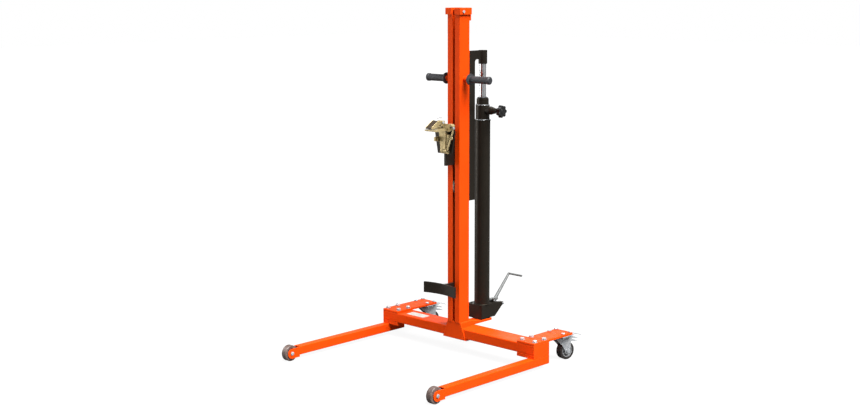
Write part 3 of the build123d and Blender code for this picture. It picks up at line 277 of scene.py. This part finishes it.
class Shape:
    """Collects closed surfaces into one mesh. Points are in millimetres."""

    def __init__(self):
        self.points = []
        self.faces = []

    def rings(self, rings, closed=False, caps=True):
        """Skin a list of rings that all have the same number of points."""
        base = len(self.points)
        n = len(rings[0])
        for ring in rings:
            self.points.extend(ring)
        count = len(rings)
        for i in range(count if closed else count - 1):
            a, b = base + i * n, base + ((i + 1) % count) * n
            for k in range(n):
                k2 = (k + 1) % n
                self.faces.append((a + k, a + k2, b + k2, b + k))
        if caps and not closed:
            self.faces.append(tuple(base + k for k in reversed(range(n))))
            self.faces.append(tuple(base + (count - 1) * n + k for k in range(n)))
        return self

    def lathe(self, origin, axis, profile, segs=40, closed=False, outline=None):
        """Turn (radius, height) pairs about an axis, or scale an outline by each radius."""
        o, z = Vector(origin), Vector(axis).normalized()
        x = z.orthogonal().normalized() if abs(z.x) > 0.9 or abs(z.y) > 0.9 else Vector((1, 0, 0))
        x = (x - x.dot(z) * z).normalized()
        y = z.cross(x)
        if outline is None:
            outline = [(math.cos(math.tau * k / segs), math.sin(math.tau * k / segs)) for k in range(segs)]
        rings = [[o + h * z + r * (c * x + s * y) for c, s in outline] for r, h in profile]
        return self.rings(rings, closed)

    def tube(self, path, radius, segs=12, closed=False):
        """Round section along a path; radius is a number or a list with one value per point."""
        pts = [Vector(p) for p in path]
        count = len(pts)
        radii = radius if isinstance(radius, list) else [radius] * count
        rings = []
        side = None
        for i, p in enumerate(pts):
            before = pts[i - 1] if i or closed else p
            after = pts[(i + 1) % count] if i < count - 1 or closed else p
            d = (after - before).normalized()
            if side is None:
                side = d.orthogonal()
            side = (side - side.dot(d) * d).normalized()
            up = d.cross(side)
            rings.append([
                p + radii[i] * (math.cos(math.tau * k / segs) * side + math.sin(math.tau * k / segs) * up)
                for k in range(segs)
            ])
        return self.rings(rings, closed)

    def bead(self, path, radius, rng, closed=False):
        """Weld bead: a lumpy run of overlapping ripples along a path."""
        pts = [Vector(p) for p in path]
        if closed:
            pts.append(pts[0])
        fine = []
        for a, b in zip(pts, pts[1:]):
            steps = max(1, round((b - a).length / 1.1))
            fine.extend(a.lerp(b, k / steps) for k in range(steps))
        if not closed:
            fine.append(pts[-1])
        phase = rng.uniform(0, 6)
        radii = []
        for i in range(len(fine)):
            ripple = 0.14 * abs(math.sin(phase + i * 0.62))
            taper = 1.0 if closed else min(1.0, 0.55 + 0.25 * min(i, len(fine) - 1 - i))
            radii.append(radius * taper * (0.92 + ripple + rng.uniform(-0.03, 0.03)))
        return self.tube(fine, radii, 10, closed)

    def build(self, name, body, slot, smooth=38.0, bevel_mm=0.0):
        """Make the object, give it its finish, and let it ride on a body."""
        mesh = bpy.data.meshes.new(name)
        mesh.from_pydata([Vector(p) * MM for p in self.points], [], self.faces)
        mesh.validate()
        obj = bpy.data.objects.new(name, mesh)
        bpy.context.scene.collection.objects.link(obj)
        mesh.materials.append(FINISHES[slot])
        mesh.polygons.foreach_set("use_smooth", [True] * len(mesh.polygons))
        mesh.set_sharp_from_angle(angle=math.radians(smooth))
        if bevel_mm:
            soften(obj, bevel_mm)
        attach(obj, body)
        return obj


def hexagon(turn=0.0):
    return [(math.cos(math.tau * k / 6 + turn), math.sin(math.tau * k / 6 + turn)) for k in range(6)]


def hex_head(shape, origin, axis, across, height, washer=0.0, washer_t=0.0, turn=0.0):
    """Hex head with chamfered corners, on a washer when one is given."""
    z = Vector(axis).normalized()
    o = Vector(origin)
    if washer:
        w, t = washer, washer_t
        shape.lathe(o, z, [(w - 0.4, 0), (w, 0.3), (w, t - 0.4), (w - 0.5, t), (w - 4, t)], 40)
        o = o + z * (washer_t - 0.02)
    r = across / 2 / math.cos(math.pi / 6)
    shape.lathe(o, z, [(r * 0.97, 0), (r, 0.25), (r, height * 0.84), (r * 0.9, height), (r * 0.5, height)],
                outline=hexagon(turn))


def centre(node):
    lo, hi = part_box(node)
    return (lo + hi) / 2 / MM


def box_mm(node):
    lo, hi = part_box(node)
    return lo / MM, hi / MM


rng = random.Random(7)
BEAM_Y = centre("cross_beam").y

# ============================ bolts, nuts and washers ============================

# positions come from the record's own solids: every bolt group is found by splitting the CAD node into its solids

def solids_of(node):
    """Lowest and highest corner, in millimetres, of each separate solid in a CAD node."""
    mesh = NODES[node].data
    key = {}
    parent = []

    def root(i):
        while parent[i] != i:
            parent[i] = parent[parent[i]]
            i = parent[i]
        return i

    ids = []
    for v in mesh.vertices:
        k = tuple(round(c * 1e5) for c in v.co)
        if k not in key:
            key[k] = len(parent)
            parent.append(key[k])
        ids.append(key[k])
    for edge in mesh.edges:
        a, b = root(ids[edge.vertices[0]]), root(ids[edge.vertices[1]])
        parent[a] = b
    groups = {}
    for v, i in zip(mesh.vertices, ids):
        groups.setdefault(root(i), []).append(v.co)
    boxes = []
    for pts in groups.values():
        lo = Vector([min(p[k] for p in pts) for k in range(3)]) / MM
        hi = Vector([max(p[k] for p in pts) for k in range(3)]) / MM
        boxes.append((lo, hi))
    return sorted(boxes, key=lambda b: tuple(round(c, 1) for c in (b[0] + b[1]) / 2))


frame_bolts = Shape()
for lo, hi in solids_of("frame_bolts"):
    mid = (lo + hi) / 2
    seat = Vector((mid.x, mid.y, hi.z - 10.0))
    hex_head(frame_bolts, seat, (0, 0, 1), 19.0, 7.5, 12.0, 2.5, rng.uniform(0, 1))
    frame_bolts.lathe((mid.x, mid.y, lo.z), (0, 0, 1), [(6, 0), (6, hi.z - lo.z - 9)], 24)
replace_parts(frame_bolts.build("frame_bolt_set", "chassis", "zinc_steel"), "frame_bolts")

caster_bolts = Shape()
for lo, hi in solids_of("caster_bolts"):
    mid = (lo + hi) / 2
    seat = Vector((mid.x, mid.y, hi.z - 6.4))
    hex_head(caster_bolts, seat, (0, 0, 1), 16.5, 6.3, turn=rng.uniform(0, 1))
    threads = [(4.95 if k % 2 else 4.55, k * 0.75) for k in range(17)]
    caster_bolts.lathe((mid.x, mid.y, lo.z), (0, 0, 1), [(3.8, -0.01)] + threads + [(4.9, 13.0), (4.9, hi.z - lo.z - 6)], 24)
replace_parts(caster_bolts.build("caster_bolt_set", "chassis", "zinc_steel"), "caster_bolts")

caster_nuts = Shape()
for lo, hi in solids_of("caster_nuts"):
    mid = (lo + hi) / 2
    r = 8.5 / math.cos(math.pi / 6)
    caster_nuts.lathe((mid.x, mid.y, hi.z), (0, 0, -1), [(5.0, 0), (r * 0.95, 0), (r, 0.5), (r, 5.6), (r * 0.88, 6.2), (5.0, 6.2)],
                      closed=True, outline=hexagon(rng.uniform(0, 1)))
    caster_nuts.lathe((mid.x, mid.y, hi.z - 6.2), (0, 0, -1), [(5.0, 0), (6.9, 0), (6.9, 1.3), (6.2, 1.8), (5.0, 1.8)], 32, closed=True)
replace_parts(caster_nuts.build("caster_nut_set", "chassis", "zinc_steel"), "caster_nuts")

cap_bolts = Shape()
for lo, hi in solids_of("cap_bolts"):
    mid = (lo + hi) / 2
    side = 1 if mid.x > 0 else -1
    face = hi.x - 5.3 if side > 0 else lo.x + 5.3
    hex_head(cap_bolts, (face, mid.y, mid.z), (side, 0, 0), 13.0, 5.3, turn=0.3)
    cap_bolts.lathe((face, mid.y, mid.z), (-side, 0, 0), [(4, -0.02), (4, hi.x - lo.x - 5.3)], 20)
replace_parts(cap_bolts.build("cap_bolt_set", "chassis", "zinc_steel"), "cap_bolts")

# ============================ weld beads ============================

base_lo, base_hi = box_mm("mast_base")
mast_lo, mast_hi = box_mm("right_mast_channel")
beam_lo, beam_hi = box_mm("cross_beam")
gusset_lo, gusset_hi = box_mm("front_gusset")
leg_lo, leg_hi = box_mm("right_leg")

welds = Shape()
for s in (-1, 1):
    welds.bead([(s * base_hi.x, base_lo.y + 2, beam_hi.z), (s * base_hi.x, base_hi.y - 1, beam_hi.z)], 2.6, rng)
    welds.bead([(s * mast_hi.x, base_lo.y + 2, base_hi.z), (s * mast_hi.x, mast_hi.y - 1, base_hi.z)], 2.4, rng)
    welds.bead([(s * 12, mast_hi.y, base_hi.z), (s * 37, mast_hi.y, base_hi.z)], 2.2, rng)
    slope = (gusset_hi.x - 43) / (gusset_hi.z - gusset_lo.z)
    top, bottom = beam_hi.z - 5, beam_lo.z + 3
    welds.bead([
        (s * (43 + (gusset_hi.z - top) * slope), beam_lo.y, top),
        (s * (43 + (gusset_hi.z - bottom) * slope), beam_lo.y, bottom),
    ], 2.4, rng)
    welds.bead([(s * (leg_lo.x + 2), beam_lo.y + 0.3, leg_hi.z), (s * (leg_hi.x - 3), beam_lo.y + 0.3, leg_hi.z)], 2.2, rng)
    welds.bead([(s * leg_lo.x, beam_lo.y + 3, leg_hi.z), (s * leg_lo.x, beam_hi.y - 3, leg_hi.z)], 2.2, rng)
    welds.bead([(s * 25, BEAM_Y + 12, 136), (s * 25, BEAM_Y + 84, 136)], 1.8, rng)
    stub = centre("handle_stubs")
    ring = [(s * mast_hi.x, stub.y + 12.8 * math.cos(a), stub.z + 12.8 * math.sin(a))
            for a in (math.tau * k / 36 for k in range(36))]
    welds.bead(ring, 1.9, rng, closed=True)
    tab_lo, tab_hi = box_mm("mast_tabs")
    welds.bead([(s * (tab_hi.x - 4), mast_hi.y, tab_lo.z), (s * 14, mast_hi.y, tab_lo.z)], 1.6, rng)
welds.build("frame_welds", "chassis", "frame_paint", smooth=180)

tube_lo, tube_hi = box_mm("cylinder_tube")
tube_mid = (tube_lo + tube_hi) / 2
block_lo, block_hi = box_mm("pump_block")
tube_r = (tube_hi.x - tube_lo.x) / 2
black_welds = Shape()
ring = [(tube_mid.x + tube_r * math.cos(a), tube_mid.y + tube_r * math.sin(a), tube_lo.z)
        for a in (math.tau * k / 72 for k in range(72))]
black_welds.bead(ring, 2.4, rng, closed=True)
black_welds.build("cylinder_weld", "chassis", "black_paint", smooth=180)

saddle_lo, saddle_hi = box_mm("drum_saddle")
carriage_lo, carriage_hi = box_mm("carriage")
lift_welds = Shape()
for s in (-1, 1):
    lift_welds.bead([(s * 6, BEAM_Y - 136.8, saddle_lo.z + 4), (s * 6, BEAM_Y - 136.8, saddle_hi.z - 4)], 1.9, rng)
    lift_welds.bead([(s * 6, BEAM_Y - 113, 1004), (s * 6, BEAM_Y - 113, 1068)], 1.8, rng)
    lift_welds.bead([(s * 6, tube_mid.y - 20, 1396), (s * 6, tube_mid.y - 20, carriage_hi.z - 2)], 1.8, rng)
lift_welds.build("carriage_welds", "lift_carriage", "black_paint", smooth=180)

# ============================ cylinder ============================

rings = Shape()
rings.lathe((tube_mid.x, tube_mid.y, tube_hi.z + 6), (0, 0, 1),
            [(34.6, 0.02), (37.4, 0.02), (37.7, 0.5), (37.3, 1.5), (34.6, 1.9)], 64, closed=True)
rings.lathe((tube_mid.x, tube_mid.y, tube_hi.z + 76), (0, 0, 1),
            [(30.6, 0.02), (32.4, 0.02), (32.8, 0.5), (32.4, 1.5), (30.6, 1.9)], 64, closed=True)
rings.build("cylinder_rings", "chassis", "zinc_steel")

head_lo, head_hi = box_mm("cylinder_head")
wiper = Shape()
wiper.lathe((tube_mid.x, tube_mid.y, head_hi.z), (0, 0, 1),
            [(16.62, -1), (22.5, -1), (22.5, 1.5), (20.5, 2.8), (17.4, 2.8), (16.62, 1.8)], 48, closed=True)
wiper.build("rod_wiper", "chassis", "grip_rubber")

# ============================ plunger spring ============================

plunger_lo, plunger_hi = box_mm("pump_plunger")
plunger = (plunger_lo + plunger_hi) / 2
spring = Shape()
turns, wire = 4, 0.9
SPRING_R = 9.4
z_low, z_high = 187.0 + wire, plunger_hi.z - 5.0 - wire
path = []
for k in range(turns * 24 + 1):
    a = math.tau * k / 24
    share = min(1.0, max(0.0, (k - 12) / (turns * 24 - 24)))
    path.append((plunger.x + SPRING_R * math.cos(a), plunger.y + SPRING_R * math.sin(a), z_low + (z_high - z_low) * share))
spring.tube(path, wire, 8)
spring_obj = spring.build("plunger_spring", "chassis", "zinc_steel", smooth=180)
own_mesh(spring_obj)

# ============================ casters and rollers ============================

JOINTS = {joint["name"]: joint for joint in frame["record"]["behaviour"]["joints"]}


def joint_axis(name):
    """A point on a joint's axis, in millimetres, and its direction."""
    joint = JOINTS[name]
    return Vector(joint["pos_m"]) / MM, Vector(joint["axis"]).normalized()


def washer(shape, point, axis, bore, radius, thickness, segs=40):
    """Flat ring with rounded rims, standing on a point."""
    shape.lathe(point, axis, [
        (bore, 0), (radius - 0.3, 0), (radius, 0.3), (radius, thickness - 0.3), (radius - 0.4, thickness),
        (bore + 0.2, thickness), (bore, thickness - 0.2)], segs, closed=True)


def coil(shape, point, axis, radius, wire, length, turns):
    """Close-wound spring along an axis."""
    z = Vector(axis).normalized()
    x = z.orthogonal().normalized()
    y = z.cross(x)
    path = []
    for k in range(turns * 20 + 1):
        a = math.tau * k / 20
        path.append(Vector(point) + z * (length * k / (turns * 20)) + radius * (math.cos(a) * x + math.sin(a) * y))
    shape.tube(path, wire, 8)


for side in ("left", "right"):
    swivel_at, _ = joint_axis(f"{side}_caster_swivel")
    axle_at, axle = joint_axis(f"{side}_wheel_spin")
    pin_at, _ = joint_axis(f"{side}_brake_hinge")
    tyre_lo, tyre_hi = box_mm(f"{side}_caster_tyre")

    race = Shape()
    race.lathe((swivel_at.x, swivel_at.y, 104.4), (0, 0, 1), [
        (22, 0.6), (32.5, 0.6), (35.0, 2.0), (35.6, 4.6), (34.6, 7.2), (33.9, 7.4), (33.9, 1.2), (22, 1.2)],
        64, closed=True)
    washer(race, axle_at + axle * 20, axle, 5.0, 11.5, 1.6)
    washer(race, axle_at - axle * 20, -axle, 5.0, 11.5, 1.6)
    coil(race, pin_at - axle * 15.5, axle, 4.2, 0.8, 31.0, 12)
    race.build(f"{side}_fork_fittings", f"{side}_swivel", "zinc_steel")

    hub = Shape()
    for s in (-1, 1):
        face = axle_at + axle * (s * 16.0)
        hub.lathe(face, axle * s, [(6.0, 0), (12.4, 0), (12.4, 0.4), (11.6, 0.7), (6.4, 0.7), (6.0, 0.5)], 40, closed=True)
        for k in range(6):
            turn = Matrix.Rotation(math.tau * k / 6, 3, axle)
            out = turn @ Vector((0, 0, 1))
            inner, outer = face - axle * (s * 4.5) + out * 11.5, face - axle * (s * 3.2) + out * 26.0
            hub.tube([inner, inner.lerp(outer, 0.5), outer], [1.8, 1.3, 1.6], 8)
    hub.build(f"{side}_wheel_ribs", f"{side}_wheel", "wheel_centre")

    plate = Shape()
    washer(plate, (swivel_at.x, swivel_at.y, 117.0), (0, 0, -1), 28.0, 33.0, 4.4, 64)
    plate.build(f"{side}_race_cup", "chassis", "zinc_steel")

spacers = Shape()
for side in ("left", "right"):
    at, axle = joint_axis(f"{side}_roller_spin")
    for s in (-1, 1):
        washer(spacers, at + axle * (s * 15.0), axle * s, 6.0, 11.5, 1.4)
        spacers.lathe(at + axle * (s * 23.0), axle * s, [(0.01, -0.2), (8.2, -0.2), (8.6, 0.4), (7.4, 1.1), (0.01, 1.4)], 32)
spacers.build("roller_spacers", "chassis", "zinc_steel")

# ============================ grips, knob, label and clamp fittings ============================

grips = Shape()
for side, s in (("left", -1), ("right", 1)):
    grip_lo, grip_hi = box_mm(f"{side}_grip")
    mid = (grip_lo + grip_hi) / 2
    for k in range(15):
        x = mid.x + (k - 7) * 5.4
        grips.lathe((x, mid.y, mid.z), (s, 0, 0), [(15.2, -1.3), (16.6, -0.6), (16.6, 0.6), (15.2, 1.3)], 48, closed=True)
grips.build("grip_ribs", "chassis", "grip_rubber")

knob_at, knob_axis = joint_axis("release_turn")
knob_lo, knob_hi = box_mm("release_knob")
knob = Shape()
knob.lathe((knob_hi.x - 0.5, knob_at.y, knob_at.z), (1, 0, 0),
           [(12.5, 0), (12.5, 0.8), (11.0, 1.9), (7.0, 2.6), (3.0, 2.8), (0.4, 2.85)], 48)
knob.build("knob_cap", "release_valve", "knob_plastic")

label_lo, label_hi = box_mm("data_plate")
rivets = Shape()
for x in (label_lo.x + 4.5, label_hi.x - 4.5):
    for y in (label_lo.y + 4.5, label_hi.y - 4.5):
        rivets.lathe((x, y, label_hi.z - 0.1), (0, 0, 1), [(2.4, 0), (2.3, 0.5), (1.7, 1.0), (0.9, 1.25), (0.1, 1.3)], 20)
rivets.build("label_rivets", "chassis", "zinc_steel")

beak_at, _ = joint_axis("beak_hinge")
clips = Shape()
for s in (-1, 1):
    washer(clips, beak_at + Vector((s * 15.1, 0, 0)), (s, 0, 0), 4.0, 6.8, 1.2, 28)
    clips.lathe(beak_at + Vector((s * 17.4, 0, 0)), (s, 0, 0), [(4.6, 0), (5.2, 0.4), (4.8, 1.3), (3.0, 1.9), (0.1, 2.0)], 24)
clips.build("beak_pin_clips", "clamp", "zinc_steel")

clamp_at, _ = joint_axis("clamp_tilt")
body_lo, body_hi = box_mm("clamp_body")
dark = Shape()
for x, z in ((-2.5, 1094.0), (54.0, 1093.0)):
    hex_head(dark, (x, BEAM_Y - 140.0, z), (0, -1, 0), 8.0, 2.6, 5.4, 0.8, 0.5)
# painted shade: this dark dished disc on the pivot's end stands in for the shade inside the open tube
dark.lathe((clamp_at.x + 18.2, clamp_at.y, clamp_at.z), (1, 0, 0), [(5.9, 0), (5.9, 0.6), (3.2, 0.7), (3.0, 0.3), (0.1, 0.2)], 32)
dark.build("clamp_screws_and_hole_shade", "clamp", "beak_steel")

plugs = Shape()
for x, y in ((-47.0, BEAM_Y + 116.0), (-44.0, BEAM_Y + 180.0)):
    plugs.lathe((x, y, tube_lo.z - 0.2), (0, 0, 1), [(7.0, 0), (7.0, 0.8), (5.6, 1.0)], 32)
    hex_head(plugs, (x, y, tube_lo.z + 0.6), (0, 0, 1), 9.0, 3.2, turn=0.4)
plugs.build("pump_plugs", "chassis", "black_paint")

# ============================ studio ============================

MIDDLE = Vector((0, BEAM_Y * MM, 0))
CAMERA_POINT = MIDDLE + Vector((4.17597, -4.54576, 1.74145))
CAMERA_YAW = math.radians(44.004)
CAMERA_PITCH = math.radians(9.504)
CAMERA_ROLL = math.radians(-0.149)

back = Vector((math.sin(CAMERA_YAW) * math.cos(CAMERA_PITCH), -math.cos(CAMERA_YAW) * math.cos(CAMERA_PITCH),
               math.sin(CAMERA_PITCH)))
right = Vector((math.cos(CAMERA_YAW), math.sin(CAMERA_YAW), 0))
up = back.cross(right)
right_r = right * math.cos(CAMERA_ROLL) + up * math.sin(CAMERA_ROLL)
up_r = up * math.cos(CAMERA_ROLL) - right * math.sin(CAMERA_ROLL)
camera_data = bpy.data.cameras.new("camera")
camera_data.sensor_width = 36.0
camera_data.lens = 55.37
camera_data.shift_y = 0.0005
camera_data.clip_end = 60.0
camera = bpy.data.objects.new("camera", camera_data)
bpy.context.scene.collection.objects.link(camera)
camera.matrix_world = Matrix((
    (right_r.x, up_r.x, back.x, CAMERA_POINT.x),
    (right_r.y, up_r.y, back.y, CAMERA_POINT.y),
    (right_r.z, up_r.z, back.z, CAMERA_POINT.z),
    (0, 0, 0, 1),
))
bpy.context.scene.camera = camera

# the floor shows almost white to the camera, and throws only a little light back at the object
floor_tree = Tree("floor")
seen = floor_tree.add("ShaderNodeLightPath").outputs["Is Camera Ray"]
matt = floor_tree.add("ShaderNodeBsdfDiffuse", {"Color": floor_tree.mix(seen, (0.14,) * 3, (0.86,) * 3)}).outputs[0]
glow = floor_tree.add("ShaderNodeEmission", {"Color": (1, 1, 1, 1), "Strength": 1.0}).outputs[0]
share = floor_tree.math("MULTIPLY", seen, 0.93)
blend = floor_tree.add("ShaderNodeMixShader", {0: share, 1: matt, 2: glow}).outputs[0]
floor_tree.add("ShaderNodeOutputMaterial", {"Surface": blend})

floor_mesh = bpy.data.meshes.new("floor")
FLOOR = 30.0
floor_mesh.from_pydata([(-FLOOR, -FLOOR, 0), (FLOOR, -FLOOR, 0), (FLOOR, FLOOR, 0), (-FLOOR, FLOOR, 0)], [], [(0, 1, 2, 3)])
floor = bpy.data.objects.new("floor", floor_mesh)
floor_mesh.materials.append(floor_tree.material)
bpy.context.scene.collection.objects.link(floor)

# the camera sees white; surfaces are lit by an even fill, and mirrors also see tall bright and dark panels around them
world = bpy.data.worlds.new("studio")
world.use_nodes = True
wn, wl = world.node_tree.nodes, world.node_tree.links
wn.clear()


def world_node(kind, inputs=None, **settings):
    node = wn.new(kind)
    for key, value in settings.items():
        setattr(node, key, value)
    for key, value in (inputs or {}).items():
        if isinstance(value, bpy.types.NodeSocket):
            wl.new(value, node.inputs[key])
        else:
            node.inputs[key].default_value = value
    return node


ray = world_node("ShaderNodeLightPath").outputs
direction = world_node("ShaderNodeTexCoord").outputs["Generated"]
split = world_node("ShaderNodeSeparateXYZ", {0: direction}).outputs
bearing = world_node("ShaderNodeMath", {0: split[1], 1: split[0]}, operation="ARCTAN2").outputs[0]
wave = world_node("ShaderNodeMath", {0: bearing, 1: 3.0}, operation="MULTIPLY").outputs[0]
wave = world_node("ShaderNodeMath", {0: wave, 1: 0.6}, operation="ADD").outputs[0]
wave = world_node("ShaderNodeMath", {0: wave}, operation="SINE").outputs[0]
panels = world_node("ShaderNodeMapRange", {
    "Value": wave, "From Min": -0.5, "From Max": 0.5, "To Min": 0.05, "To Max": 0.62}).outputs["Result"]
fill = world_node("ShaderNodeBackground", {"Color": (0.24, 0.243, 0.25, 1)}).outputs[0]
mirrored = world_node("ShaderNodeBackground", {"Color": (1, 1, 1, 1), "Strength": panels}).outputs[0]
white = world_node("ShaderNodeBackground", {"Color": (1, 1, 1, 1)}).outputs[0]
lit = world_node("ShaderNodeMixShader", {0: ray["Is Glossy Ray"], 1: fill, 2: mirrored}).outputs[0]
shown = world_node("ShaderNodeMixShader", {0: ray["Is Camera Ray"], 1: lit, 2: white}).outputs[0]
world_node("ShaderNodeOutputWorld", {"Surface": shown})
bpy.context.scene.world = world


def aim(obj, point, target):
    """Stand a light at a point beside the middle of the beam and turn it to face another one."""
    obj.location = MIDDLE + Vector(point)
    obj.rotation_euler = (Vector(target) - Vector(point)).to_track_quat("-Z", "Y").to_euler()


key_data = bpy.data.lights.new("key", "SUN")
key_data.energy = 9.4
key_data.angle = math.radians(44)
key = bpy.data.objects.new("key", key_data)
bpy.context.scene.collection.objects.link(key)
aim(key, (3.8, -0.37, 6.1), (0, 0, 0))

rim_data = bpy.data.lights.new("rim_highlight", "AREA")
rim_data.energy = 45
rim_data.shape = "RECTANGLE"
rim_data.size = 0.8
rim_data.size_y = 3.0
rim_highlight = bpy.data.objects.new("rim_highlight", rim_data)
bpy.context.scene.collection.objects.link(rim_highlight)
aim(rim_highlight, (-2.6, -1.6, 1.3), (0, 0, 0.9))

back_data = bpy.data.lights.new("back", "AREA")
back_data.energy = 5
back_data.shape = "RECTANGLE"
back_data.size = 1.0
back_data.size_y = 0.8
back_light = bpy.data.objects.new("back", back_data)
bpy.context.scene.collection.objects.link(back_light)
aim(back_light, (-2.28, 2.97, 1.18), (0.28, 0, 0.12))

bpy.context.scene.view_settings.view_transform = "Standard"
